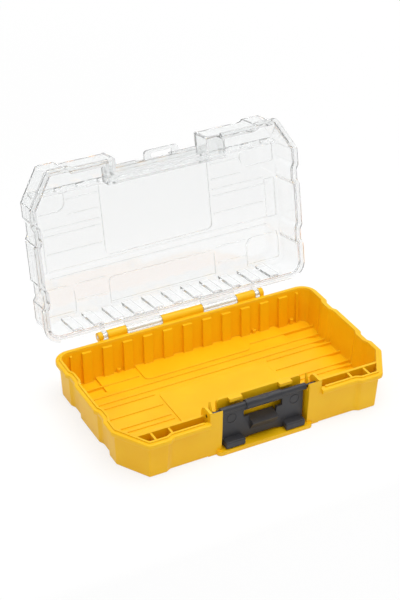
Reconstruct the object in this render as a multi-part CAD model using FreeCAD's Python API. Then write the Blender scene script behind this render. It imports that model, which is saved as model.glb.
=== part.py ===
"""Tool organizer case: a tray with a clear hinged lid, a swinging front latch and the pins they turn on.

Millimetres. X runs along the hinge, Y points from the latch to the hinge, Z is up. The origin is the
middle of the tray's underside. The lid is modelled shut on the tray and then turned open to its stop;
the latch hangs down.
"""
import FreeCAD, Part
import math
import os
from FreeCAD import Vector

# Case outline, measured on the rim flange
case_length = 260.0
case_depth = 155.0
rear_corner_radius = 15.0
front_chamfer_across = 19.0
front_chamfer_back = 31.5
chamfer_corner_radius = 6.0
grip_groove_depth = 2.2
grip_groove_mouth = 18.0
grip_groove_bed = 10.0
grip_groove_radius = 2.5
rear_groove_from_rear = 41.5
front_groove_from_front = 56.0
corner_block_length = 20.0
corner_block_slope = 4.0
corner_block_radius = 1.6
front_panel_setback = 2.4
least_corner_radius = 2.0
sharp_corner_radius = 0.3

# Heights, walls and rim
tray_height = 36.0
lid_shorter_by = 2.3
parting_gap = 0.3
wall = 2.4
tray_draft = 2.0
lid_draft = 0.8
flange_overhang = 3.0
flange_height = 4.5
flange_edge_radius = 1.2
tongue_width = 1.9
tongue_height = 1.0
tongue_gap = 0.4
bottom_edge_radius = 1.4
lid_top_radius = 1.8
cut_overrun = 5.0
axis_share = 0.5

# Tray floor: a main floor that slopes down at its ends, panels at its middle and ridges along it
corner_floor = 2.2
main_floor = 4.0
floor_end_margin = 1.6
floor_ramp_length = 16.0
underside_recess = 1.6
underside_rim = 33.0
underside_corner_radius = 6.0
rear_floor_from_end = 39.0
rear_floor_depth = 26.0
floor_relief = 0.9
centre_panel_half_length = 53.0
centre_panel_radius = 5.0
front_panel_from_rear = 53.8
rear_panel_from_rear = 31.5
ridge_width = 1.4
ridge_panel_gap = 3.0
rear_ridge_from_rear = 23.7
long_ridges_from_rear = (38.2, 47.8)
side_ridges_from_rear = (54.7, 70.7, 86.5, 92.7)

# Ribs that hold divider bars upright
rib_pairs = 5
rib_from_end = 31.5
rib_width = 9.0
rib_depth = 2.6
rib_rim_drop = 3.0
corner_rib_from_end = 16.5
corner_rib_width = 2.0
foot_nubs_from_end = (61.5, 22.0)
foot_nub_radius = 1.8
foot_nub_height = 3.2

# Front pockets and the inner wall behind them
inner_wall_from_front = 16.5
dividers_from_end = (44.5, 28.5)
divider_thickness = 2.0
divider_drop = 0.6

# Latch bay at the middle of the tray's front, with heights above the tray's rim
bay_half_length = 41.0
bay_edge_radius = 1.0
bay_back_from_front = 18.9
bay_side_wall = 2.4
block_length = 12.0
block_rise = 9.1
block_plate = 2.4
block_plate_slope = 2.0
ear_thickness = 2.4
ear_rise = 8.8
ear_rear_radius = 7.0
ledge_height = 3.8
ledge_side_reach = 4.5
ledge_reach = 4.2
ledge_corner_radius = 4.0
shield_end_gap = 1.0
shield_rise = 10.0
shield_corner_radius = 3.0
keeper_inner_x = 17.8
keeper_length = 12.0
keeper_reach = 4.0
keeper_height = 3.2
gusset_offset = 5.0
gusset_thickness = 1.8
gusset_foot = 4.5

# Latch and its pin, with distances from the pin along the latch
latch_axis_from_front = 12.0
latch_axis_rise = 3.0
latch_pin_radius = 1.5
running_clearance = 0.05
barrel_radius = 2.9
barrel_end_gap = 0.5
grip_radius = 4.0
grip_half_length = 17.0
grip_valley_radius = 24.0
grip_valley_depth = 1.2
plate_end_gap = 2.5
plate_front_offset = 0.8
plate_thickness = 2.5
plate_edge_radius = 2.0
latch_foot_gap = 0.3
window_half_length = 18.4
window_near = 5.4
pull_side_gap = 6.0
pull_notch_gap = 1.0
pull_distance = 17.1
pull_front = 7.2
pull_rear = 5.6
pull_rear_rise = 1.8
pull_height = 9.4
arch_height = 2.0
hook_window_gap = 1.1
hook_end_inset = 0.6
hook_front = 8.0
hook_edge_radius = 1.5
mould_ring_inset = 8.5
mould_ring_distance = 9.3
mould_ring_radius = 4.6
mould_ring_depth = 0.3
mould_ring_width = 0.7

# Hinge and its pins, as lengths in turn from the case's middle
hinge_set_back = 4.5
hinge_axis_rise = 1.0
hinge_pin_radius = 1.5
knuckle_radius = 4.1
knuckle_web_height = 5.5
knuckle_gap = 0.5
centre_knuckle_half_length = 20.4
lid_knuckle_length = 34.1
side_knuckle_length = 18.3
lid_tab_length = 3.9
end_ear_length = 4.0
hinge_pin_inner_x = 6.0
stop_gap = 0.2
stop_height = 4.2
lid_open_angle = 101.5

# Lid front: latch recess, catch ledge and hang loop
recess_side_gap = 3.0
recess_lower_from_front = 22.3
recess_upper_from_front = 19.9
shelf_gap = 0.4
shelf_thickness = 2.2
shelf_from_front = 13.1
ear_clearance = 1.5
catch_ledge_drop = 3.0
catch_gap = 0.3
catch_lip_reach = 1.7
catch_lip_overlap = 3.5
catch_lip_height = 2.1
riser_from_front = 26.3
loop_from_front = 5.6
loop_swing_gap = 0.3
loop_side_gap = 1.8
loop_corner_radius = 3.5
loop_bar = 6.6
loop_slot_near = 2.8
loop_slot_far = 8.5
loop_slot_radius = 1.2

# Lid top panel: raised fields, hollow beneath, and ridges on its inside
field_height = 0.7
plaque_from_front = 32.0
plaque_from_rear = 56.2
rear_field_from_rear = 34.7
field_end_from_rear = 9.5
field_radius = 5.0
corner_field_radius = 8.0
corner_field_from_end = 43.0
corner_field_margin = 6.0
front_corner_field_from_front = 48.5
rear_corner_field_from_rear = 37.0
side_field_from_end = 19.5
side_field_from_front = 65.0
side_field_from_rear = 53.2
lid_ridge_height = 0.6
lid_ridge_width = 1.2
lid_ridge_end_gap = 2.0
lid_long_ridges_from_rear = (47.5, 54.2)
lid_side_ridges_from_rear = (70.0, 86.5, 92.8)
lid_short_ridges_from_rear = (22.0, 37.5, 102.5, 116.5)
lid_rib_depth = 2.6
lid_tooth_width = 8.0
lid_tooth_depth = 4.4
lid_tooth_pairs = 6
lid_tooth_from_end = 18.4
lid_inner_wall_from_end = 11.8
lid_inner_wall_drop = 14.0

# Worked-out places
half_length = case_length / 2
half_depth = case_depth / 2
lid_rim = tray_height + parting_gap
lid_top = lid_rim + tray_height - lid_shorter_by
corner_block_x = half_length - front_chamfer_across - corner_block_length
rib_pitch = (half_length - rib_from_end) / rib_pairs
lid_tooth_pitch = (half_length - lid_tooth_from_end) / (lid_tooth_pairs - 1 / 2)
rear_floor_half_length = half_length - rear_floor_from_end
inner_wall_front_y = -half_depth + inner_wall_from_front
inner_wall_rear_y = inner_wall_front_y + wall
bay_back_y = -half_depth + bay_back_from_front
front_plate_y = -half_depth + front_panel_setback + flange_overhang
block_half_length = bay_half_length + block_length
block_top = tray_height + block_rise
ear_top = tray_height + ear_rise
shield_top = tray_height + shield_rise
latch_axis_y = -half_depth + latch_axis_from_front
latch_axis_z = tray_height + latch_axis_rise
plate_half_length = bay_half_length - plate_end_gap
plate_front_y = latch_axis_y - plate_front_offset
plate_rear_y = plate_front_y + plate_thickness
pull_half_length = window_half_length - pull_side_gap
latch_foot_z = ledge_height + latch_foot_gap
catch_ledge = lid_top - catch_ledge_drop
hook_distance = catch_ledge + catch_gap - latch_axis_z
hook_inner_x = window_half_length + hook_window_gap
hinge_axis_y = half_depth + hinge_set_back
hinge_axis_z = tray_height + hinge_axis_rise
lid_knuckle_end = centre_knuckle_half_length + knuckle_gap + lid_knuckle_length
side_knuckle_end = lid_knuckle_end + knuckle_gap + side_knuckle_length
lid_tab_end = side_knuckle_end + knuckle_gap + lid_tab_length
end_ear_end = lid_tab_end + knuckle_gap + end_ear_length
recess_half_length = bay_half_length + recess_side_gap
recess_lower_y = -half_depth + recess_lower_from_front
recess_upper_y = -half_depth + recess_upper_from_front
riser_y = -half_depth + riser_from_front
shelf_bottom = max(block_top, shield_top) + shelf_gap
shelf_top = shelf_bottom + shelf_thickness
shelf_front_y = -half_depth + shelf_from_front
loop_front_y = -half_depth + loop_from_front
loop_swing_radius = math.hypot(latch_axis_y - loop_front_y, shelf_top - latch_axis_z)
window_shoulder = loop_swing_radius + loop_swing_gap
field_end_y = half_depth - field_end_from_rear
corner_field_x = half_length - corner_field_from_end
side_field_x = half_length - side_field_from_end
tongue_outer_inset = flange_overhang + tongue_gap
X_AXIS = Vector(1, 0, 0)
Y_AXIS = Vector(0, 1, 0)
Z_AXIS = Vector(0, 0, 1)


def mirror_x(shape):
    """The same shape on the other side of the case's middle."""
    return shape.mirror(Vector(0, 0, 0), X_AXIS)


def both_sides(shapes):
    """Each shape together with its mirror image."""
    return [copy for shape in shapes for copy in (shape, mirror_x(shape))]


def outline():
    """Corners of the rim flange, counter-clockwise from the front right: x, y and corner radius."""
    right = [
        (corner_block_x - corner_block_slope, -half_depth + front_panel_setback, corner_block_radius),
        (corner_block_x, -half_depth, corner_block_radius),
        (half_length - front_chamfer_across, -half_depth, chamfer_corner_radius),
        (half_length, -half_depth + front_chamfer_back, chamfer_corner_radius),
    ]
    front_groove_y = -half_depth + front_groove_from_front
    rear_groove_y = half_depth - rear_groove_from_rear
    for groove_y in (front_groove_y, rear_groove_y):
        right += [
            (half_length, groove_y - grip_groove_mouth / 2, grip_groove_radius),
            (half_length - grip_groove_depth, groove_y - grip_groove_bed / 2, grip_groove_radius),
            (half_length - grip_groove_depth, groove_y + grip_groove_bed / 2, grip_groove_radius),
            (half_length, groove_y + grip_groove_mouth / 2, grip_groove_radius),
        ]
    right.append((half_length, half_depth, rear_corner_radius))
    return right + [(-x, y, radius) for x, y, radius in reversed(right)]


def inset(corners, distance):
    """The corners of a counter-clockwise outline moved inwards by a distance, with their radii."""
    moved = []
    for index, (x, y, radius) in enumerate(corners):
        before = corners[index - 1]
        after = corners[(index + 1) % len(corners)]
        arriving = Vector(x - before[0], y - before[1], 0).normalize()
        leaving = Vector(after[0] - x, after[1] - y, 0).normalize()
        turn = arriving.cross(leaving).z
        normal = Vector(-arriving.y - leaving.y, arriving.x + leaving.x, 0)
        step = normal * (distance / (1 + arriving.dot(leaving)))
        moved_radius = radius - distance if turn > 0 else radius + distance
        moved.append((x + step.x, y + step.y, max(moved_radius, least_corner_radius)))
    return moved


def rounded_wire(corners, z):
    """A closed level wire of straight runs joined by tangent arcs."""
    ends = []
    for index, (x, y, radius) in enumerate(corners):
        here = Vector(x, y, z)
        before = corners[index - 1]
        after = corners[(index + 1) % len(corners)]
        back = (Vector(before[0], before[1], z) - here).normalize()
        ahead = (Vector(after[0], after[1], z) - here).normalize()
        half_angle = back.getAngle(ahead) / 2
        reach = radius / math.tan(half_angle)
        centre = here + (back + ahead).normalize() * (radius / math.sin(half_angle))
        middle = centre + (here - centre).normalize() * radius
        ends.append((here + back * reach, middle, here + ahead * reach))
    edges = []
    for index, (start, middle, end) in enumerate(ends):
        edges.append(Part.Arc(start, middle, end).toShape())
        edges.append(Part.LineSegment(end, ends[(index + 1) % len(ends)][0]).toShape())
    return Part.Wire(edges)


def prism(corners, bottom, top):
    """An upright solid on a rounded outline."""
    return Part.Face(rounded_wire(corners, bottom)).extrude(Z_AXIS * (top - bottom))


def tapered(corners, bottom, bottom_inset, top, top_inset):
    """A solid whose outline is inset differently at its bottom and its top."""
    wires = [rounded_wire(inset(corners, bottom_inset), bottom), rounded_wire(inset(corners, top_inset), top)]
    return Part.makeLoft(wires, True, True)


def block(x_range, y_range, z_range):
    """A box between two corners."""
    low = Vector(x_range[0], y_range[0], z_range[0])
    size = Vector(x_range[1], y_range[1], z_range[1]) - low
    return Part.makeBox(size.x, size.y, size.z, low)


def plate_block(x_range, y_range, z_range, radii):
    """A level plate with one corner radius each for front right, rear right, rear left and front left."""
    left, right = x_range
    front, rear = y_range
    places = [(right, front), (right, rear), (left, rear), (left, front)]
    corners = [(x, y, radius) for (x, y), radius in zip(places, radii)]
    return prism(corners, z_range[0], z_range[1])


def side_profile(points, x_range):
    """A straight-sided profile of (y, z) points carried along X."""
    wire = Part.makePolygon([Vector(x_range[0], y, z) for y, z in points + points[:1]])
    return Part.Face(wire).extrude(X_AXIS * (x_range[1] - x_range[0]))


def front_profile(points, y_range):
    """A straight-sided profile of (x, z) points carried along Y."""
    wire = Part.makePolygon([Vector(x, y_range[0], z) for x, z in points + points[:1]])
    return Part.Face(wire).extrude(Vector(0, y_range[1] - y_range[0], 0))


def rod(x_range, y, z, radius):
    """A round bar along X."""
    return Part.makeCylinder(radius, x_range[1] - x_range[0], Vector(x_range[0], y, z), X_AXIS)


def round_edges(shape, radius, wanted):
    """Rounds the edges that a test picks by their middle point and direction."""
    picked = []
    for edge in shape.Edges:
        middle = edge.valueAt((edge.FirstParameter + edge.LastParameter) / 2)
        along = edge.tangentAt(edge.FirstParameter)
        if wanted(middle, along):
            picked.append(edge)
    return shape.makeFillet(radius, picked)


def is_level(along):
    """Whether an edge's direction lies in the XY plane."""
    return abs(along.z) < axis_share


def rim_flange(bottom, top):
    """The rounded flange round the rim, as a ring that also takes in the wall."""
    slab = prism(outline(), bottom, top)
    slab = round_edges(slab, flange_edge_radius, lambda middle, along: is_level(along))
    room = inset(outline(), flange_overhang + wall)
    return slab.cut(prism(room, bottom - cut_overrun, top + cut_overrun))


def rib_places(pitch, pairs):
    """Middles of an odd number of ribs spread evenly about the case's middle."""
    return [pitch * step for step in range(-pairs, pairs + 1)]


def tray_back_rib(x, width):
    """An upright rib on the inside of the tray's back wall, following the wall's lean."""
    top = tray_height - rib_rim_drop
    lean = tray_draft * (tray_height - top) / tray_height
    face_top = half_depth - flange_overhang - wall - lean
    face_foot = half_depth - flange_overhang - wall - tray_draft
    half_wall = wall / 2
    points = [
        (face_foot - rib_depth, corner_floor - half_wall),
        (face_top - rib_depth, top),
        (face_top + half_wall, top),
        (face_foot + half_wall, corner_floor - half_wall),
    ]
    return side_profile(points, (x - width / 2, x + width / 2))


def tray_shell():
    """The tray's outer walls and floor, hollowed, with the pockets along its front."""
    corners = outline()
    shell = tapered(corners, 0, flange_overhang + tray_draft, tray_height, flange_overhang)
    low_edge = tray_height / 2
    shell = round_edges(shell, bottom_edge_radius, lambda m, along: m.z < low_edge and is_level(along))
    body = shell.copy()
    flange_bottom = tray_height - flange_height
    rim_inset = tongue_outer_inset + tongue_width
    tongue_top = tray_height + tongue_height
    high = tongue_top + cut_overrun
    rim = rim_flange(flange_bottom, tray_height)
    tongue = prism(inset(corners, tongue_outer_inset), flange_bottom, tongue_top)
    tongue = tongue.cut(prism(inset(corners, rim_inset), 0, high))
    front_y = (-case_depth, inner_wall_rear_y)
    tongue_end = block_half_length + ear_clearance + wall + tongue_gap
    tongue = tongue.cut(block((-tongue_end, tongue_end), front_y, (tray_height, high)))
    rim = rim.fuse(tongue).cut(block((-block_half_length, block_half_length), front_y, (0, high)))
    shell = shell.fuse(rim)
    floor_inset = flange_overhang + tray_draft + wall
    hollow = tapered(corners, corner_floor, floor_inset, high, rim_inset)
    everywhere = (-case_length, case_length)
    main_room = block(everywhere, (inner_wall_rear_y, case_depth), (0, 2 * high))
    pocket_room = block((block_half_length, case_length), (-case_depth, inner_wall_front_y), (0, 2 * high))
    shell = shell.cut(hollow.common(main_room))
    for side in both_sides([hollow.common(pocket_room)]):
        shell = shell.cut(side)
    dividers = []
    for from_end in dividers_from_end:
        x = half_length - from_end
        span = (x - divider_thickness / 2, x + divider_thickness / 2)
        divider_top = tray_height - divider_drop
        divider = block(span, (-half_depth, inner_wall_front_y), (corner_floor / 2, divider_top))
        dividers.append(divider.common(body))
    return shell.fuse(both_sides(dividers))


def tray_floor():
    """The raised main floor with its sloping ends, and the panels and ridges on it."""
    side = half_length - flange_overhang - tray_draft - wall - floor_end_margin
    rear = half_depth - flange_overhang - tray_draft
    low = corner_floor / 2
    square = sharp_corner_radius
    step_y = half_depth - flange_overhang - wall - rear_floor_depth
    flat = side - floor_ramp_length
    slope = [(side, low), (flat, main_floor), (-flat, main_floor), (-side, low)]
    rear_x = (-rear_floor_half_length, rear_floor_half_length)
    slabs = [
        front_profile(slope, (inner_wall_front_y, step_y)),
        block(rear_x, (step_y, rear), (low, main_floor)),
    ]
    high = main_floor + floor_relief
    middle = (-centre_panel_half_length, centre_panel_half_length)
    rear_corners = [square, centre_panel_radius, centre_panel_radius, square]
    front_corners = [centre_panel_radius, square, square, centre_panel_radius]
    front_panel_y = (inner_wall_front_y, half_depth - front_panel_from_rear)
    rear_panel_y = (half_depth - rear_panel_from_rear, rear)
    slabs.append(plate_block(middle, front_panel_y, (low, high), rear_corners))
    slabs.append(plate_block(middle, rear_panel_y, (low, high), front_corners))
    for from_rear in long_ridges_from_rear:
        y = half_depth - from_rear
        slabs.append(block((-half_length, half_length), (y, y + ridge_width), (low, high)))
    side_ridges = []
    ridge_x = (centre_panel_half_length + ridge_panel_gap, half_length)
    for from_rear in side_ridges_from_rear + (rear_ridge_from_rear,):
        y = half_depth - from_rear
        side_ridges.append(block(ridge_x, (y, y + ridge_width), (low, high)))
    return slabs + both_sides(side_ridges)


def tray_ribs():
    """Ribs along the back wall and the inner front wall, and the nubs at the back wall's foot."""
    pieces = [tray_back_rib(x, rib_width) for x in rib_places(rib_pitch, rib_pairs)]
    top = tray_height - rib_rim_drop
    for x in rib_places(rib_pitch, rib_pairs):
        span = (x - rib_width / 2, x + rib_width / 2)
        rear = (bay_back_y if abs(x) < block_half_length else inner_wall_front_y) + wall
        pieces.append(block(span, (rear - wall / 2, rear + rib_depth), (corner_floor / 2, top)))
    corner = [tray_back_rib(half_length - corner_rib_from_end, corner_rib_width)]
    nub_y = half_depth - flange_overhang - wall - tray_draft - foot_nub_radius / 2
    for from_end in foot_nubs_from_end:
        base = Vector(half_length - from_end, nub_y, corner_floor / 2)
        nub_top = main_floor + foot_nub_height
        nub = Part.makeCylinder(foot_nub_radius, nub_top - base.z, base, Z_AXIS)
        corner.append(nub)
    return pieces + both_sides(corner)


def tray_latch_bay(tray):
    """Cuts the bay in the tray's front and builds the blocks, ears, shield wall and ledge round it."""
    high = ear_top + cut_overrun
    bay = (-bay_half_length, bay_half_length)
    blocks_x = (-block_half_length, block_half_length)
    tray = tray.fuse(block(blocks_x, (bay_back_y, bay_back_y + wall), (0, tray_height)))
    plate_x = (bay_half_length, block_half_length)
    plate = block(plate_x, (front_plate_y, front_plate_y + block_plate), (0, tray_height))
    front_lean = tapered(outline(), 0, flange_overhang + tray_draft, tray_height, flange_overhang)
    lower_plate = plate.common(front_lean)
    upper_plate = side_profile(
        [
            (front_plate_y, tray_height),
            (front_plate_y, block_top),
            (front_plate_y + block_plate, block_top - block_plate_slope),
            (front_plate_y + block_plate, tray_height),
        ],
        plate_x,
    )
    ear_x = (block_half_length - ear_thickness, block_half_length)
    ear_y = (front_plate_y, bay_back_y + wall)
    ear = block(ear_x, ear_y, (tray_height - flange_height, ear_top))
    ear = round_edges(
        ear,
        ear_rear_radius,
        lambda m, along: m.z > latch_axis_z and abs(along.x) > axis_share and m.y > latch_axis_y,
    )
    hollow = block(
        (bay_half_length + bay_side_wall, block_half_length - ear_thickness),
        (front_plate_y + tray_draft + block_plate, bay_back_y),
        (corner_floor, high),
    )
    gusset_x = bay_half_length + gusset_offset
    gusset_span = (gusset_x - gusset_thickness / 2, gusset_x + gusset_thickness / 2)
    gusset_rear_y = bay_back_y + wall / 2
    gusset_front_y = bay_back_y - gusset_foot
    gusset = side_profile(
        [
            (gusset_rear_y, corner_floor / 2),
            (gusset_front_y, corner_floor / 2),
            (gusset_front_y, tray_height - wall),
            (gusset_rear_y, shield_top),
        ],
        gusset_span,
    )
    tray = tray.fuse(both_sides([lower_plate, upper_plate]))
    for side in both_sides([hollow]):
        tray = tray.cut(side)
    tray = tray.fuse(both_sides([ear, gusset]))
    tray = tray.cut(block(bay, (-case_depth, bay_back_y), (ledge_height, high)))
    corner_x = (bay_half_length, bay_half_length + bay_edge_radius)
    corner_y = (front_plate_y - cut_overrun, front_plate_y + bay_edge_radius)
    corner = block(corner_x, corner_y, (ledge_height, high))
    corner_core = Vector(corner_x[1], corner_y[1], 0)
    corner = corner.cut(Part.makeCylinder(bay_edge_radius, high, corner_core, Z_AXIS))
    for side in both_sides([corner]):
        tray = tray.cut(side)
    shield_half_length = bay_half_length - shield_end_gap
    shield_x = (-shield_half_length, shield_half_length)
    shield = block(shield_x, (bay_back_y, bay_back_y + wall), (tray_height - wall, shield_top))
    shield_edge = shield_top - wall / 2
    shield = round_edges(
        shield,
        shield_corner_radius,
        lambda m, along: m.z > shield_edge and abs(along.y) > axis_share,
    )
    keeper_y = (bay_back_y - keeper_reach, bay_back_y + wall / 2)
    keeper_x = (keeper_inner_x, keeper_inner_x + keeper_length)
    keeper = block(keeper_x, keeper_y, (shield_top - keeper_height, shield_top))
    ledge_y = (front_plate_y + tray_draft - ledge_reach, bay_back_y)
    ledge_radii = [ledge_corner_radius, sharp_corner_radius, sharp_corner_radius, ledge_corner_radius]
    ledge_half_length = bay_half_length + ledge_side_reach
    ledge = plate_block((-ledge_half_length, ledge_half_length), ledge_y, (0, ledge_height), ledge_radii)
    tray = tray.fuse([shield, ledge] + both_sides([keeper]))
    bore = rod((-case_length, case_length), latch_axis_y, latch_axis_z, latch_pin_radius)
    return tray.cut(bore)


def knuckle(x_range, below):
    """A hinge knuckle with the web that carries it from the case's back, below or above the parting line."""
    barrel = rod(x_range, hinge_axis_y, hinge_axis_z, knuckle_radius)
    root_y = half_depth - flange_overhang
    if below:
        near = tray_height - parting_gap
        points = [
            (root_y, near - knuckle_web_height),
            (hinge_axis_y, hinge_axis_z - knuckle_radius),
            (hinge_axis_y + knuckle_radius / 2, near),
            (root_y, near),
        ]
    else:
        points = [
            (root_y, hinge_axis_z),
            (hinge_axis_y, hinge_axis_z),
            (hinge_axis_y, hinge_axis_z + knuckle_radius),
            (root_y, lid_rim + knuckle_web_height),
        ]
    return barrel.fuse(side_profile(points, x_range))


def stop_lug(x_range):
    """The corner on a lid tab that meets the tray's flange when the lid is fully open, drawn shut."""
    face_y = half_depth + stop_gap
    points = [
        (face_y, hinge_axis_z),
        (face_y, hinge_axis_z - stop_height),
        (hinge_axis_y, hinge_axis_z - stop_height),
        (hinge_axis_y, hinge_axis_z),
    ]
    lug = side_profile(points, x_range)
    lug.rotate(Vector(0, hinge_axis_y, hinge_axis_z), X_AXIS, lid_open_angle)
    return lug


def make_tray():
    """The moulded tray in one piece: shell, floor, ribs, latch bay and hinge knuckles."""
    tray = tray_shell()
    root = wall / 2
    outer_inset = flange_overhang + root
    inside = tapered(outline(), 0, outer_inset + tray_draft, tray_height, outer_inset)
    tray = tray.fuse([piece.common(inside) for piece in tray_floor() + tray_ribs()])
    recess_x = half_length - underside_rim
    recess_y = (bay_back_y + wall, half_depth - underside_rim / 2)
    recess_z = (-cut_overrun, underside_recess)
    tray = tray.cut(plate_block((-recess_x, recess_x), recess_y, recess_z, [underside_corner_radius] * 4))
    tray = tray_latch_bay(tray)
    knuckles = [knuckle((-centre_knuckle_half_length, centre_knuckle_half_length), True)]
    knuckles += both_sides([
        knuckle((lid_knuckle_end + knuckle_gap, side_knuckle_end), True),
        knuckle((lid_tab_end + knuckle_gap, end_ear_end), True),
    ])
    tray = tray.fuse(knuckles)
    tray = tray.cut(rod((-case_length, case_length), hinge_axis_y, hinge_axis_z, hinge_pin_radius))
    return tray.removeSplitter()


def lid_outer():
    """The lid's body without its flange, solid."""
    return tapered(outline(), lid_rim, flange_overhang, lid_top, flange_overhang + lid_draft)


def lid_shell():
    """The lid's outer walls and top, hollowed, with its rim flange and the rebate for the tray's tongue."""
    corners = outline()
    middle = (lid_rim + lid_top) / 2
    shell = round_edges(lid_outer(), lid_top_radius, lambda m, along: m.z > middle and is_level(along))
    shell = shell.fuse(rim_flange(lid_rim, lid_rim + flange_height))
    rim_inset = flange_overhang + wall
    low = lid_rim - cut_overrun
    hollow = tapered(corners, low, rim_inset, lid_top - wall, rim_inset + lid_draft)
    rebate_top = tray_height + tongue_height + parting_gap
    rebate = prism(inset(corners, flange_overhang), low, rebate_top)
    return shell.cut(hollow).cut(rebate)


def field_plates(z_range):
    """The raised fields of the lid's top panel as plates between two heights."""
    sharp = sharp_corner_radius
    soft = field_radius
    side_limit = half_length - flange_overhang - lid_draft - corner_field_margin
    front_limit = -half_depth + front_chamfer_back
    middle = (-centre_panel_half_length, centre_panel_half_length)
    plaque_y = (-half_depth + plaque_from_front, half_depth - plaque_from_rear)
    rear_y = (half_depth - rear_field_from_rear, field_end_y)
    corner_x = (corner_field_x, side_limit)
    front_corner_y = (front_limit, -half_depth + front_corner_field_from_front)
    rear_corner_y = (half_depth - rear_corner_field_from_rear, field_end_y)
    side_y = (-half_depth + side_field_from_front, half_depth - side_field_from_rear)
    plates = [
        plate_block(middle, plaque_y, z_range, [sharp, soft, soft, sharp]),
        plate_block(middle, rear_y, z_range, [soft, sharp, sharp, soft]),
    ]
    sides = [
        plate_block(corner_x, front_corner_y, z_range, [sharp, sharp, corner_field_radius, sharp]),
        plate_block(corner_x, rear_corner_y, z_range, [sharp, soft, sharp, corner_field_radius]),
        plate_block((side_field_x, side_limit), side_y, z_range, [sharp] * 4),
    ]
    return plates + both_sides(sides)


def lid_ribs():
    """Ribs inside the lid's back wall, and the teeth along the inner wall at its front."""
    top = lid_top - wall / 2
    root = wall / 2
    wall_face = half_depth - flange_overhang - wall
    pieces = []
    for x in rib_places(rib_pitch, rib_pairs):
        points = [
            (wall_face + root, lid_rim + rib_rim_drop),
            (wall_face - lid_rib_depth, lid_rim + rib_rim_drop),
            (wall_face - lid_draft - lid_rib_depth, top),
            (wall_face - lid_draft + root, top),
        ]
        pieces.append(side_profile(points, (x - rib_width / 2, x + rib_width / 2)))
    rear = riser_y + wall
    foot = lid_top - lid_inner_wall_drop
    tooth = [(rear - root, foot), (rear, foot), (rear + lid_tooth_depth, top), (rear - root, top)]
    teeth = []
    for step in range(lid_tooth_pairs):
        x = lid_tooth_pitch * (step + 1 / 2)
        teeth.append(side_profile(tooth, (x - lid_tooth_width / 2, x + lid_tooth_width / 2)))
    return pieces + both_sides(teeth)


def lid_ridges():
    """Low ridges along the inside of the lid's top panel, between its fields."""
    z_range = (lid_top - wall - lid_ridge_height, lid_top - wall / 2)
    start = centre_panel_half_length + ridge_panel_gap
    far = side_field_x - lid_ridge_end_gap
    near = corner_field_x - lid_ridge_end_gap

    def ridge(x_range, from_rear):
        y = half_depth - from_rear
        return block(x_range, (y, y + lid_ridge_width), z_range)

    sides = [ridge((start, far), place) for place in lid_side_ridges_from_rear]
    sides += [ridge((start, near), place) for place in lid_short_ridges_from_rear]
    return both_sides(sides) + [ridge((-far, far), place) for place in lid_long_ridges_from_rear]


def lid_front(shell):
    """Cuts the latch recess in the lid's front and builds its walls, shelf, catch ledge and hang loop."""
    notch_half = block_half_length + ear_clearance
    notch_side = notch_half + wall
    recess_side = recess_half_length + wall
    wall_half_length = half_length - lid_inner_wall_from_end
    high = lid_top + field_height + cut_overrun
    low = lid_rim - cut_overrun
    recess = (-recess_half_length, recess_half_length)
    lower_rear_y = recess_lower_y + wall
    upper_y = (recess_upper_y, recess_upper_y + wall)
    inner_z = (lid_top - lid_inner_wall_drop, lid_top)
    walls = [
        block((-notch_side, notch_side), (recess_lower_y, lower_rear_y), (lid_rim, shelf_top)),
        block((-notch_side, notch_side), (-half_depth, lower_rear_y), (shelf_bottom, shelf_top)),
        block((-recess_side, recess_side), upper_y, (shelf_bottom, catch_ledge)),
        block((-wall_half_length, wall_half_length), (riser_y, riser_y + wall), inner_z),
    ]
    side_walls = [
        block((recess_half_length, recess_side), (-half_depth, riser_y + wall), (shelf_bottom, lid_top)),
        block((notch_half, notch_side), (-half_depth, lower_rear_y), (lid_rim, shelf_top)),
    ]
    outer = lid_outer()
    foot_y = (front_plate_y - flange_overhang / 2, lower_rear_y)
    foot = block((notch_half, notch_side), foot_y, (lid_rim, lid_rim + flange_height / 2))
    lid = shell.fuse([piece.common(outer) for piece in walls + both_sides(side_walls)] + both_sides([foot]))
    rooms = [
        block(recess, (-case_depth, riser_y), (catch_ledge, high)),
        block(recess, (-case_depth, recess_upper_y), (shelf_top, high)),
        block(recess, (-case_depth, shelf_front_y), (low, high)),
        block((-notch_half, notch_half), (-case_depth, recess_lower_y), (low, shelf_bottom)),
    ]
    for room in rooms:
        lid = lid.cut(room)
    ledge = block(recess, (recess_upper_y, riser_y + wall), (catch_ledge - wall, catch_ledge))
    lip_y = (recess_upper_y - catch_lip_reach, recess_upper_y)
    lip_x = (hook_inner_x - catch_lip_overlap, recess_half_length)
    lip = block(lip_x, lip_y, (catch_ledge - catch_lip_height, catch_ledge))
    loop_half_length = window_half_length - loop_side_gap
    loop_x = (-loop_half_length, loop_half_length)
    loop_y = (loop_front_y, shelf_front_y + wall)
    loop_radii = [loop_corner_radius, sharp_corner_radius, sharp_corner_radius, loop_corner_radius]
    loop = plate_block(loop_x, loop_y, (shelf_bottom, shelf_top), loop_radii)
    slot_half_length = loop_half_length - loop_bar
    slot = plate_block(
        (-slot_half_length, slot_half_length),
        (loop_front_y + loop_slot_near, loop_front_y + loop_slot_far),
        (shelf_bottom - cut_overrun, shelf_top + cut_overrun),
        [loop_slot_radius] * 4,
    )
    return lid.fuse([ledge, loop] + both_sides([lip])).cut(slot)


def field_hollows():
    """The shallow hollows under the lid's raised fields, kept off its walls and ribs."""
    panel = lid_top - wall
    reach = flange_overhang + lid_draft + 2 * wall
    room = prism(inset(outline(), reach), panel - field_height, panel + field_height)
    clear_y = (riser_y + wall + lid_tooth_depth, field_end_y - rib_depth)
    room = room.common(block((-case_length, case_length), clear_y, (0, lid_top)))
    return [plate.common(room) for plate in field_plates((panel - field_height, panel + field_height))]


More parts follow.
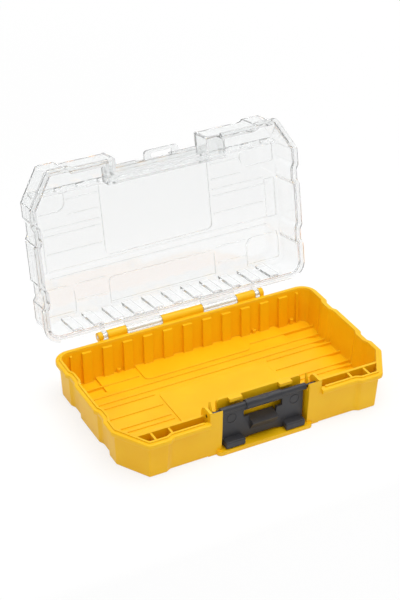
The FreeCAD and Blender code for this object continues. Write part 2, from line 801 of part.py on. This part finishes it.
def make_lid():
    """The clear lid, shut on the tray."""
    outer = lid_outer()
    lid = lid_front(lid_shell())
    lid = lid.fuse([rib.common(outer) for rib in lid_ribs()] + lid_ridges())
    lid = lid.fuse(field_plates((lid_top - wall / 2, lid_top + field_height)))
    for hollow in field_hollows():
        lid = lid.cut(hollow)
    tab = (side_knuckle_end + knuckle_gap, lid_tab_end)
    knuckles = [
        knuckle((centre_knuckle_half_length + knuckle_gap, lid_knuckle_end), False),
        knuckle(tab, False),
        stop_lug(tab),
    ]
    lid = lid.fuse(both_sides(knuckles))
    bore_radius = hinge_pin_radius + running_clearance
    lid = lid.cut(rod((-case_length, case_length), hinge_axis_y, hinge_axis_z, bore_radius))
    return lid.removeSplitter()


def latch_window():
    """The opening in the latch that the lid's hang loop passes through, narrowing to the finger pull."""
    near = latch_axis_z - window_near
    shoulder = latch_axis_z - window_shoulder
    pull_top = latch_axis_z - pull_distance
    notch = pull_half_length + pull_notch_gap
    right = [
        (window_half_length, near),
        (window_half_length, shoulder),
        (notch, shoulder),
        (pull_half_length, pull_top),
    ]
    left = [(-x, z) for x, z in reversed(right)]
    return front_profile(right + left, (plate_front_y - cut_overrun, plate_rear_y + cut_overrun))


def latch_arch(arch_z):
    """The relief between the hooks along the latch's lower edge."""
    low = latch_foot_z - cut_overrun
    right = [(hook_inner_x, low), (hook_inner_x, latch_foot_z), (pull_half_length, arch_z)]
    left = [(-x, z) for x, z in reversed(right)]
    front_y = latch_axis_y - hook_front - cut_overrun
    return front_profile(right + left, (front_y, plate_rear_y + cut_overrun))


def mould_ring(x):
    """A shallow ring left by the mould on the latch's face."""
    centre = Vector(x, plate_front_y, latch_axis_z - mould_ring_distance)
    core_radius = mould_ring_radius - mould_ring_width
    ring = Part.makeCylinder(mould_ring_radius, mould_ring_depth, centre, Y_AXIS)
    return ring.cut(Part.makeCylinder(core_radius, mould_ring_depth, centre, Y_AXIS))


def make_latch():
    """The latch, hanging from its barrel: plate, window, finger pull and the two hooks that catch the lid."""
    barrel_half = bay_half_length - barrel_end_gap
    arch_z = latch_foot_z + arch_height
    pull_top = latch_axis_z - pull_distance
    barrel = rod((-barrel_half, barrel_half), latch_axis_y, latch_axis_z, barrel_radius)
    grip = rod((-grip_half_length, grip_half_length), latch_axis_y, latch_axis_z, grip_radius)
    valley_z = latch_axis_z + grip_radius - grip_valley_depth + grip_valley_radius
    valley_start = Vector(0, latch_axis_y - grip_radius, valley_z)
    grip = grip.cut(Part.makeCylinder(grip_valley_radius, 2 * grip_radius, valley_start, Y_AXIS))
    plate_x = (-plate_half_length, plate_half_length)
    plate = block(plate_x, (plate_front_y, plate_rear_y), (latch_foot_z, latch_axis_z))
    corner_z = latch_foot_z + plate_edge_radius
    plate = round_edges(
        plate,
        plate_edge_radius,
        lambda m, along: m.z < corner_z and abs(along.y) > axis_share,
    )
    pull = side_profile(
        [
            (latch_axis_y - pull_front, pull_top),
            (latch_axis_y + pull_rear, pull_top + pull_rear_rise),
            (plate_rear_y, pull_top - pull_height),
            (plate_front_y, pull_top - pull_height),
        ],
        (-pull_half_length, pull_half_length),
    )
    hook_y = (latch_axis_y - hook_front, plate_rear_y)
    hook_x = (hook_inner_x, plate_half_length - hook_end_inset)
    hook = block(hook_x, hook_y, (latch_foot_z, latch_axis_z - hook_distance))
    hook_edge_y = plate_front_y - hook_edge_radius
    hook = round_edges(hook, hook_edge_radius, lambda m, along: m.y < hook_edge_y)
    latch = barrel.fuse([grip, plate.cut(latch_window()), pull]).cut(latch_arch(arch_z))
    latch = latch.fuse(both_sides([hook]))
    for ring in both_sides([mould_ring(plate_half_length - mould_ring_inset)]):
        latch = latch.cut(ring)
    bore_radius = latch_pin_radius + running_clearance
    latch = latch.cut(rod((-case_length, case_length), latch_axis_y, latch_axis_z, bore_radius))
    return latch.removeSplitter()


def opened(shape):
    """The lid turned open about the hinge pins to its stop."""
    turned = shape.copy()
    turned.rotate(Vector(0, hinge_axis_y, hinge_axis_z), X_AXIS, -lid_open_angle)
    return turned


def main():
    os.makedirs("parts", exist_ok=True)
    latch_pin_x = (-block_half_length, block_half_length)
    right_pin = rod((hinge_pin_inner_x, end_ear_end), hinge_axis_y, hinge_axis_z, hinge_pin_radius)
    pieces = {
        "tray": make_tray(),
        "lid": opened(make_lid()),
        "latch": make_latch(),
        "latch_pin": rod(latch_pin_x, latch_axis_y, latch_axis_z, latch_pin_radius),
        "hinge_pin_right": right_pin,
        "hinge_pin_left": mirror_x(right_pin),
    }
    for name, shape in pieces.items():
        shape.exportStep("parts/" + name + ".step")
        print(name, shape.isValid(), len(shape.Solids), round(shape.Volume))


main()
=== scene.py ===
"""Looks of the tool organizer case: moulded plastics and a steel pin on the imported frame, in a white studio."""
import math

import bmesh
import bpy
import numpy as np
from bpy.props import FloatProperty, FloatVectorProperty, IntProperty, PointerProperty, StringProperty
from mathutils import Matrix, Vector


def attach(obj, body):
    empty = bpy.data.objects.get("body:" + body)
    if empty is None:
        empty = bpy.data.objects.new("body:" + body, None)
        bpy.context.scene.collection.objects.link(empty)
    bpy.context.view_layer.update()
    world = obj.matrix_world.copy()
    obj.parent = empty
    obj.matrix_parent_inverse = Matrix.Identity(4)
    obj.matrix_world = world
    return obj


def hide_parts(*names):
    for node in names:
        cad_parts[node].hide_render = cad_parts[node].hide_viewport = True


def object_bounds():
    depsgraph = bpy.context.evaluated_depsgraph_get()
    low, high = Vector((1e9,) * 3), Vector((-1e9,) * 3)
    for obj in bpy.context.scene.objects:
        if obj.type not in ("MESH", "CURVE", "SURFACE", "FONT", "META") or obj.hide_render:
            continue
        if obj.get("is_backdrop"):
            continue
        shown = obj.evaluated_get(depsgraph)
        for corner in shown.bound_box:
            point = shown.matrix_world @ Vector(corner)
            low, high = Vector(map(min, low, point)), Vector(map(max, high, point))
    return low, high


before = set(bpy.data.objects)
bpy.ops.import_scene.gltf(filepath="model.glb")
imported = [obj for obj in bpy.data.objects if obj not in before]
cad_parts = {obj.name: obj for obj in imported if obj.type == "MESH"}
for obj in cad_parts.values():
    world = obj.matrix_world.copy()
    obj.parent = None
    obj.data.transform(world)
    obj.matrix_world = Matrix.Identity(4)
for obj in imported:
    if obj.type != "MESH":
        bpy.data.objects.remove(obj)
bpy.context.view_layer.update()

bl_info = {
    "name": "Organizer case looks",
    "version": (1, 0, 0),
    "blender": (4, 5, 0),
    "location": "View3D > Sidebar > Case",
    "description": "Finishes for a tool organizer case and the studio it stands in",
    "category": "Object",
}

WHITE = (1, 1, 1, 1)

# Merged copies of the CAD nodes
MERGE_DISTANCE = 2e-6
FLAT_ANGLE = math.radians(0.2)
CREASE_ANGLE = math.radians(24)

# Noise: how rough it is and how many finer layers it has
NOISE_ROUGHNESS = 0.55
FINE_DETAIL = 2.0
CLOUD_DETAIL = 3.0
RIPPLE_DETAIL = 1.0

# Opaque moulded plastics
TRAY_ROUGHNESS = 0.42
LATCH_ROUGHNESS = 0.45
HINGE_PIN_ROUGHNESS = 0.3
ROUGHNESS_SWING = 0.06
SHADE_PLACE = 0.3
COLOUR_PLACE = 0.7
GRAIN_STRENGTH = 0.25
GRAIN_DEPTH = 0.00004
EDGE_SAMPLES = 6
PLASTIC_IOR = 1.53
PLASTIC_SPECULAR = 0.35

# Clear lid
LID_ROUGHNESS = 0.06
LID_CLEARNESS = 0.95
POLYCARBONATE_IOR = 1.585
RIPPLE_STRENGTH = 0.12
RIPPLE_DEPTH = 0.0004

# Drawn steel. Real lines are some hundredths of a millimetre wide; these are coarser, so that they show
LINE_LENGTH = 0.05
LINE_WIDTH = 0.0004
STEEL_ROUGHNESS = (0.22, 0.38)

# Studio, in metres; the room's fade is in the Y of a direction
FLOOR_HALF = 6.0
FLOOR_DROP = 0.0002
FLOOR_WHITE = 1.05
FLOOR_FADE_Y = (-0.5, -0.15)
SHADOW_REACH = (0.5, 1.5)
ROOM_FADE_Y = (-0.35, 0.25)
SOFTBOX_SIZE = (1.4, 1.0)
SOFTBOX_PLACE = (0.12, -0.2, 1.45)
SENSOR_WIDTH = 36.0


def linear(hex_colour):
    """An sRGB hex colour as linear red, green, blue and an alpha of 1."""
    value = hex_colour.lstrip("#")
    shares = np.array([int(value[i : i + 2], 16) for i in (0, 2, 4)]) / 255
    low = shares / 12.92
    high = ((shares + 0.055) / 1.055) ** 2.4
    return (*np.where(shares <= 0.04045, low, high), 1.0)


def add(tree, kind, inputs=None, **settings):
    """Adds a node with its settings; an input given a socket is linked and any other value is set on it."""
    node = tree.nodes.new(kind)
    for name, value in settings.items():
        setattr(node, name, value)
    for name, value in (inputs or {}).items():
        if isinstance(value, bpy.types.NodeSocket):
            tree.links.new(value, node.inputs[name])
        else:
            node.inputs[name].default_value = value
    return node


def new_tree(name):
    """An empty material with an output node: the material, its tree and the output."""
    material = bpy.data.materials.new(name)
    material.use_nodes = True
    material.node_tree.nodes.clear()
    return material, material.node_tree, add(material.node_tree, "ShaderNodeOutputMaterial")


class CaseFinish(bpy.types.PropertyGroup):
    """Colours and grains of the case's materials."""

    tray_colour: StringProperty(name="Tray", description="Tray plastic, sRGB hex", default="#FFCA0A")
    tray_shade: StringProperty(name="Tray shade", description="Deeper tone of the tray, sRGB hex", default="#FDC000")
    latch_colour: StringProperty(name="Latch", description="Latch plastic, sRGB hex", default="#434346")
    latch_shade: StringProperty(
        name="Latch shade", description="Deeper tone of the latch, sRGB hex", default="#38383B"
    )
    lid_colour: StringProperty(name="Lid", description="Clear lid's tint, sRGB hex", default="#FBFCFC")
    lid_depth_colour: StringProperty(
        name="Lid depth", description="What thick clear plastic turns to, sRGB hex", default="#B4B6B8"
    )
    lid_density: FloatProperty(
        name="Lid density", description="How soon thick clear plastic darkens, per metre", default=7.0
    )
    pin_colour: StringProperty(name="Latch pin", description="Blackened steel, sRGB hex", default="#4A4A4C")
    hinge_colour: StringProperty(name="Hinge pins", description="Natural nylon, sRGB hex", default="#F4F3EE")
    hinge_shade: StringProperty(
        name="Hinge pin shade", description="Deeper tone of the nylon, sRGB hex", default="#ECEBE4"
    )
    # Real mould grain is a few tenths of a millimetre wide; it is drawn coarser, so that it shows
    grain: FloatProperty(name="Grain", description="Width of the moulded grain", default=0.0016, unit="LENGTH")
    edge_radius: FloatProperty(
        name="Edge radius", description="Radius that the mould leaves on edges", default=0.0006, unit="LENGTH"
    )
    cloud: FloatProperty(name="Cloud", description="Width of the slow tone changes", default=0.035, unit="LENGTH")


class CaseStudio(bpy.types.PropertyGroup):
    """Camera and light."""

    aim: FloatVectorProperty(
        name="Aim",
        description="Point the camera looks at",
        default=(0.00154, 0.04997, 0.0698),
        subtype="XYZ",
        unit="LENGTH",
    )
    azimuth: FloatProperty(
        name="Azimuth", description="Camera turn from the front", default=math.radians(-28.163), subtype="ANGLE"
    )
    elevation: FloatProperty(
        name="Elevation", description="Camera height angle", default=math.radians(32.608), subtype="ANGLE"
    )
    roll: FloatProperty(name="Roll", description="Camera roll", default=math.radians(-0.689), subtype="ANGLE")
    distance: FloatProperty(name="Distance", description="Camera to aim point", default=1.4249, unit="LENGTH")
    lens: FloatProperty(name="Lens", description="Focal length for a 36 mm sensor", default=98.12, unit="CAMERA")
    floor_colour: StringProperty(name="Floor", description="Floor, sRGB hex", default="#F4F4F4")
    floor_glow: FloatProperty(
        name="Floor glow",
        description="Share of the floor by the case that is plain white",
        default=0.72,
        subtype="FACTOR",
    )
    near_floor: FloatProperty(
        name="Near floor", description="Level of the floor that mirrors show on the camera's side", default=0.3
    )
    sky: FloatProperty(name="Sky", description="Level of the even light from all round", default=0.56)
    room: FloatProperty(
        name="Room", description="Level of the dim room that mirrors show on the camera's side", default=0.08
    )
    bounces: IntProperty(name="Bounces", description="How often light may bend or bounce on its way", default=32)
    key: FloatProperty(name="Key", description="Power of the softbox above", default=13.0, unit="POWER")


def pattern(tree, width, detail):
    """Noise with features of a width in metres, on the object's own coordinates."""
    place = add(tree, "ShaderNodeTexCoord")
    return add(
        tree,
        "ShaderNodeTexNoise",
        {"Vector": place.outputs["Object"], "Scale": 1 / width, "Detail": detail, "Roughness": NOISE_ROUGHNESS},
    )


def moulded_plastic(name, colour, shade, roughness, finish):
    """Opaque moulded plastic: a satin surface with fine grain, softened edges and slow changes of tone."""
    material, tree, output = new_tree(name)
    grain = pattern(tree, finish.grain, FINE_DETAIL)
    cloud = pattern(tree, finish.cloud, CLOUD_DETAIL)
    tone = add(tree, "ShaderNodeValToRGB", {"Fac": cloud.outputs["Fac"]})
    for stop, place, hex_colour in zip(tone.color_ramp.elements, (SHADE_PLACE, COLOUR_PLACE), (shade, colour)):
        stop.color = linear(hex_colour)
        stop.position = place
    rough = add(
        tree,
        "ShaderNodeMapRange",
        {
            "Value": grain.outputs["Fac"],
            "To Min": roughness - ROUGHNESS_SWING,
            "To Max": roughness + ROUGHNESS_SWING,
        },
    )
    round_edge = add(tree, "ShaderNodeBevel", {"Radius": finish.edge_radius}, samples=EDGE_SAMPLES)
    bump = add(
        tree,
        "ShaderNodeBump",
        {
            "Height": grain.outputs["Fac"],
            "Strength": GRAIN_STRENGTH,
            "Distance": GRAIN_DEPTH,
            "Normal": round_edge.outputs["Normal"],
        },
    )
    shader = add(
        tree,
        "ShaderNodeBsdfPrincipled",
        {
            "Base Color": tone.outputs["Color"],
            "Roughness": rough.outputs["Result"],
            "Normal": bump.outputs["Normal"],
            "IOR": PLASTIC_IOR,
            "Specular IOR Level": PLASTIC_SPECULAR,
        },
    )
    tree.links.new(shader.outputs["BSDF"], output.inputs["Surface"])
    return material


def clear_polycarbonate(finish):
    """Clear polycarbonate, polished in the mould: bends light strongly and mirrors it at its edges."""
    material, tree, output = new_tree("clear_polycarbonate_polished")
    ripple = pattern(tree, finish.cloud, RIPPLE_DETAIL)
    bump = add(
        tree,
        "ShaderNodeBump",
        {"Height": ripple.outputs["Fac"], "Strength": RIPPLE_STRENGTH, "Distance": RIPPLE_DEPTH},
    )
    shader = add(
        tree,
        "ShaderNodeBsdfPrincipled",
        {
            "Base Color": linear(finish.lid_colour),
            "Roughness": LID_ROUGHNESS,
            "IOR": POLYCARBONATE_IOR,
            "Transmission Weight": LID_CLEARNESS,
            "Normal": bump.outputs["Normal"],
        },
    )
    # Lamp light passes the thin walls almost as it came, so the lid throws only a faint shadow
    path = add(tree, "ShaderNodeLightPath")
    through = add(tree, "ShaderNodeBsdfTransparent", {"Color": linear(finish.lid_colour)})
    mix = add(
        tree,
        "ShaderNodeMixShader",
        {0: path.outputs["Is Shadow Ray"], 1: shader.outputs["BSDF"], 2: through.outputs["BSDF"]},
    )
    tree.links.new(mix.outputs["Shader"], output.inputs["Surface"])
    # Where light runs a long way inside the plastic, as along an edge, it turns grey
    depth = add(
        tree,
        "ShaderNodeVolumeAbsorption",
        {"Color": linear(finish.lid_depth_colour), "Density": finish.lid_density},
    )
    tree.links.new(depth.outputs["Volume"], output.inputs["Volume"])
    return material


def drawn_steel(finish):
    """Blackened drawn steel: dark metal with a soft gloss in fine lines along its length."""
    material, tree, output = new_tree("steel_drawn_blackened")
    place = add(tree, "ShaderNodeTexCoord")
    stretched = add(
        tree,
        "ShaderNodeMapping",
        {"Vector": place.outputs["Object"], "Scale": (1 / LINE_LENGTH, 1 / LINE_WIDTH, 1 / LINE_WIDTH)},
    )
    lines = add(
        tree, "ShaderNodeTexNoise", {"Vector": stretched.outputs["Vector"], "Scale": 1.0, "Detail": FINE_DETAIL}
    )
    least, most = STEEL_ROUGHNESS
    rough = add(tree, "ShaderNodeMapRange", {"Value": lines.outputs["Fac"], "To Min": least, "To Max": most})
    shader = add(
        tree,
        "ShaderNodeBsdfPrincipled",
        {"Base Color": linear(finish.pin_colour), "Metallic": 1.0, "Roughness": rough.outputs["Result"]},
    )
    tree.links.new(shader.outputs["BSDF"], output.inputs["Surface"])
    return material


def smooth_copy(node, name, body, material):
    """A merged copy of a CAD node, shaded smooth between its true edges, that stands for the node."""
    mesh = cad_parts[node].data.copy()
    mesh.name = name
    shell = bmesh.new()
    shell.from_mesh(mesh)
    bmesh.ops.remove_doubles(shell, verts=shell.verts, dist=MERGE_DISTANCE)
    bmesh.ops.dissolve_limit(shell, angle_limit=FLAT_ANGLE, verts=shell.verts, edges=shell.edges)
    shell.normal_update()
    for face in shell.faces:
        face.smooth = True
    for edge in shell.edges:
        edge.smooth = edge.calc_face_angle(0) < CREASE_ANGLE
    shell.to_mesh(mesh)
    shell.free()
    mesh.materials.clear()
    mesh.materials.append(material)
    piece = bpy.data.objects.new(name, mesh)
    bpy.context.scene.collection.objects.link(piece)
    weighted = piece.modifiers.new("flat_faces_stay_flat", "WEIGHTED_NORMAL")
    weighted.mode = "FACE_AREA"
    weighted.keep_sharp = True
    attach(piece, body)
    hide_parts(node)


class CASE_OT_tray(bpy.types.Operator):
    """Finish the tray as moulded ABS."""

    bl_idname = "case.tray"
    bl_label = "Tray"

    def execute(self, context):
        finish = context.scene.case_finish
        # ABS from a grained mould: an even, warm yellow with a satin gloss
        plastic = moulded_plastic(
            "abs_moulded_yellow", finish.tray_colour, finish.tray_shade, TRAY_ROUGHNESS, finish
        )
        smooth_copy("tray", "tray_moulding", "tray_body", plastic)
        return {"FINISHED"}


class CASE_OT_lid(bpy.types.Operator):
    """Finish the lid as clear polycarbonate."""

    bl_idname = "case.lid"
    bl_label = "Lid"

    def execute(self, context):
        plastic = clear_polycarbonate(context.scene.case_finish)
        smooth_copy("lid", "lid_moulding", "lid_body", plastic)
        return {"FINISHED"}


class CASE_OT_latch(bpy.types.Operator):
    """Finish the latch as dark moulded nylon."""

    bl_idname = "case.latch"
    bl_label = "Latch"

    def execute(self, context):
        finish = context.scene.case_finish
        # Nylon dyed through: a dark neutral grey, a little duller than the tray
        plastic = moulded_plastic(
            "nylon_moulded_grey", finish.latch_colour, finish.latch_shade, LATCH_ROUGHNESS, finish
        )
        smooth_copy("latch", "latch_moulding", "latch_body", plastic)
        return {"FINISHED"}


class CASE_OT_pins(bpy.types.Operator):
    """Finish the latch pin as blackened steel and the hinge pins as white nylon."""

    bl_idname = "case.pins"
    bl_label = "Pins"

    def execute(self, context):
        finish = context.scene.case_finish
        smooth_copy("latch_pin", "latch_pin_steel", "tray_body", drawn_steel(finish))
        # Undyed nylon rod: a glossy warm white
        nylon = moulded_plastic(
            "nylon_natural_white", finish.hinge_colour, finish.hinge_shade, HINGE_PIN_ROUGHNESS, finish
        )
        for side in ("left", "right"):
            smooth_copy("hinge_pin_" + side, f"hinge_pin_{side}_nylon", "tray_body", nylon)
        return {"FINISHED"}


def seen_ray(tree):
    """1 for rays that show the surroundings: straight to the camera, mirrored or through the clear lid."""
    path = add(tree, "ShaderNodeLightPath")
    seen = path.outputs["Is Camera Ray"]
    for kind in ("Is Glossy Ray", "Is Transmission Ray"):
        seen = add(tree, "ShaderNodeMath", {0: seen, 1: path.outputs[kind]}, operation="MAXIMUM").outputs["Value"]
    return seen


def mirrored_fade(tree, coordinates, fade_y, dim, white):
    """A level that is white where looked at, and in mirrors fades along Y to a dim room on the camera's side."""
    place = add(tree, "ShaderNodeTexCoord")
    across = add(tree, "ShaderNodeSeparateXYZ", {"Vector": place.outputs[coordinates]})
    dim_y, white_y = fade_y
    fade = add(
        tree,
        "ShaderNodeMapRange",
        {"Value": across.outputs["Y"], "From Min": dim_y, "From Max": white_y, "To Min": dim, "To Max": white},
    )
    path = add(tree, "ShaderNodeLightPath")
    plain = add(tree, "ShaderNodeMath", {0: path.outputs["Glossy Depth"], 1: 1.0}, operation="LESS_THAN")
    level = add(
        tree, "ShaderNodeMath", {0: fade.outputs["Result"], 1: plain.outputs["Value"]}, operation="MAXIMUM"
    )
    return level.outputs["Value"]


class CASE_OT_studio(bpy.types.Operator):
    """Set the white floor, the light and the camera."""

    bl_idname = "case.studio"
    bl_label = "Studio"

    def execute(self, context):
        studio = context.scene.case_studio
        self.floor(context, studio)
        self.light(context, studio)
        self.camera(context, studio)
        context.scene.view_settings.view_transform = "Standard"
        # Light is followed through the clear lid's walls and edges until it leaves them
        for kind in ("max", "glossy", "transmission", "transparent_max"):
            setattr(context.scene.cycles, kind + "_bounces", studio.bounces)
        return {"FINISHED"}

    def floor(self, context, studio):
        """A flat floor of white paper that keeps the case's shadow and meets the white background."""
        corners = np.array([(-1, -1, 0), (1, -1, 0), (1, 1, 0), (-1, 1, 0)]) * FLOOR_HALF
        corners[:, 2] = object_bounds()[0][2] - FLOOR_DROP
        mesh = bpy.data.meshes.new("studio_floor")
        mesh.from_pydata(corners.tolist(), [], [(0, 1, 2, 3)])
        material, tree, output = new_tree("paper_white")
        paper = add(tree, "ShaderNodeBsdfDiffuse", {"Color": linear(studio.floor_colour)})
        level = mirrored_fade(tree, "Object", FLOOR_FADE_Y, studio.near_floor, FLOOR_WHITE)
        glow = add(tree, "ShaderNodeEmission", {"Color": WHITE, "Strength": level})
        # Past the case's shadow the floor turns plain white, so no horizon shows
        place = add(tree, "ShaderNodeTexCoord")
        reach = add(tree, "ShaderNodeVectorMath", {0: place.outputs["Object"]}, operation="LENGTH")
        shadow_end, white_start = SHADOW_REACH
        share = add(
            tree,
            "ShaderNodeMapRange",
            {
                "Value": reach.outputs["Value"],
                "From Min": shadow_end,
                "From Max": white_start,
                "To Min": studio.floor_glow,
                "To Max": 1.0,
            },
        )
        lit = add(
            tree,
            "ShaderNodeMixShader",
            {0: share.outputs["Result"], 1: paper.outputs["BSDF"], 2: glow.outputs["Emission"]},
        )
        mix = add(
            tree, "ShaderNodeMixShader", {0: seen_ray(tree), 1: paper.outputs["BSDF"], 2: lit.outputs["Shader"]}
        )
        tree.links.new(mix.outputs["Shader"], output.inputs["Surface"])
        mesh.materials.append(material)
        floor = bpy.data.objects.new("studio_floor", mesh)
        context.scene.collection.objects.link(floor)
        floor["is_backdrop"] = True

    def light(self, context, studio):
        """Even white light all round, and one large softbox above the case."""
        world = bpy.data.worlds.new("studio")
        context.scene.world = world
        world.use_nodes = True
        tree = world.node_tree
        tree.nodes.clear()
        output = add(tree, "ShaderNodeOutputWorld")
        sky = add(tree, "ShaderNodeBackground", {"Color": WHITE, "Strength": studio.sky})
        level = mirrored_fade(tree, "Generated", ROOM_FADE_Y, studio.room, 1.0)
        backdrop = add(tree, "ShaderNodeBackground", {"Color": WHITE, "Strength": level})
        mix = add(
            tree,
            "ShaderNodeMixShader",
            {0: seen_ray(tree), 1: sky.outputs["Background"], 2: backdrop.outputs["Background"]},
        )
        tree.links.new(mix.outputs["Shader"], output.inputs["Surface"])
        lamp = bpy.data.lights.new("softbox", "AREA")
        lamp.shape = "RECTANGLE"
        lamp.size, lamp.size_y = SOFTBOX_SIZE
        lamp.energy = studio.key
        softbox = bpy.data.objects.new("softbox", lamp)
        place = Vector(SOFTBOX_PLACE)
        facing = (-place).to_track_quat("-Z", "Y")
        softbox.matrix_world = Matrix.Translation(place) @ facing.to_matrix().to_4x4()
        context.scene.collection.objects.link(softbox)

    def camera(self, context, studio):
        """Looks at the aim point from an azimuth, elevation and distance, with the photo's roll."""
        data = bpy.data.cameras.new("camera")
        data.lens = studio.lens
        data.sensor_width = SENSOR_WIDTH
        data.sensor_fit = "AUTO"
        camera = bpy.data.objects.new("camera", data)
        azimuth, elevation = studio.azimuth, studio.elevation
        flat = math.cos(elevation)
        back = Vector((math.sin(azimuth) * flat, -math.cos(azimuth) * flat, math.sin(elevation)))
        level_right = Vector((0, 0, 1)).cross(back).normalized()
        level_up = back.cross(level_right)
        cos_roll, sin_roll = math.cos(studio.roll), math.sin(studio.roll)
        right = level_right * cos_roll - level_up * sin_roll
        up = level_right * sin_roll + level_up * cos_roll
        turn = Matrix((right, up, back)).transposed().to_4x4()
        camera.matrix_world = Matrix.Translation(Vector(studio.aim) + back * studio.distance) @ turn
        context.scene.collection.objects.link(camera)
        context.scene.camera = camera


class CASE_PT_panel(bpy.types.Panel):
    """Lists the case's pieces and the studio."""

    bl_idname = "CASE_PT_panel"
    bl_label = "Organizer case"
    bl_space_type = "VIEW_3D"
    bl_region_type = "UI"
    bl_category = "Case"

    def draw(self, context):
        for operator in OPERATORS:
            self.layout.operator(operator.bl_idname)


OPERATORS = (CASE_OT_tray, CASE_OT_lid, CASE_OT_latch, CASE_OT_pins, CASE_OT_studio)
CLASSES = (CaseFinish, CaseStudio, *OPERATORS, CASE_PT_panel)


def register():
    for cls in CLASSES:
        bpy.utils.register_class(cls)
    bpy.types.Scene.case_finish = PointerProperty(type=CaseFinish)
    bpy.types.Scene.case_studio = PointerProperty(type=CaseStudio)


def unregister():
    del bpy.types.Scene.case_studio
    del bpy.types.Scene.case_finish
    for cls in reversed(CLASSES):
        bpy.utils.unregister_class(cls)


def main():
    register()
    bpy.ops.case.tray()
    bpy.ops.case.lid()
    bpy.ops.case.latch()
    bpy.ops.case.pins()
    bpy.ops.case.studio()


if __name__ == "__main__":
    main()
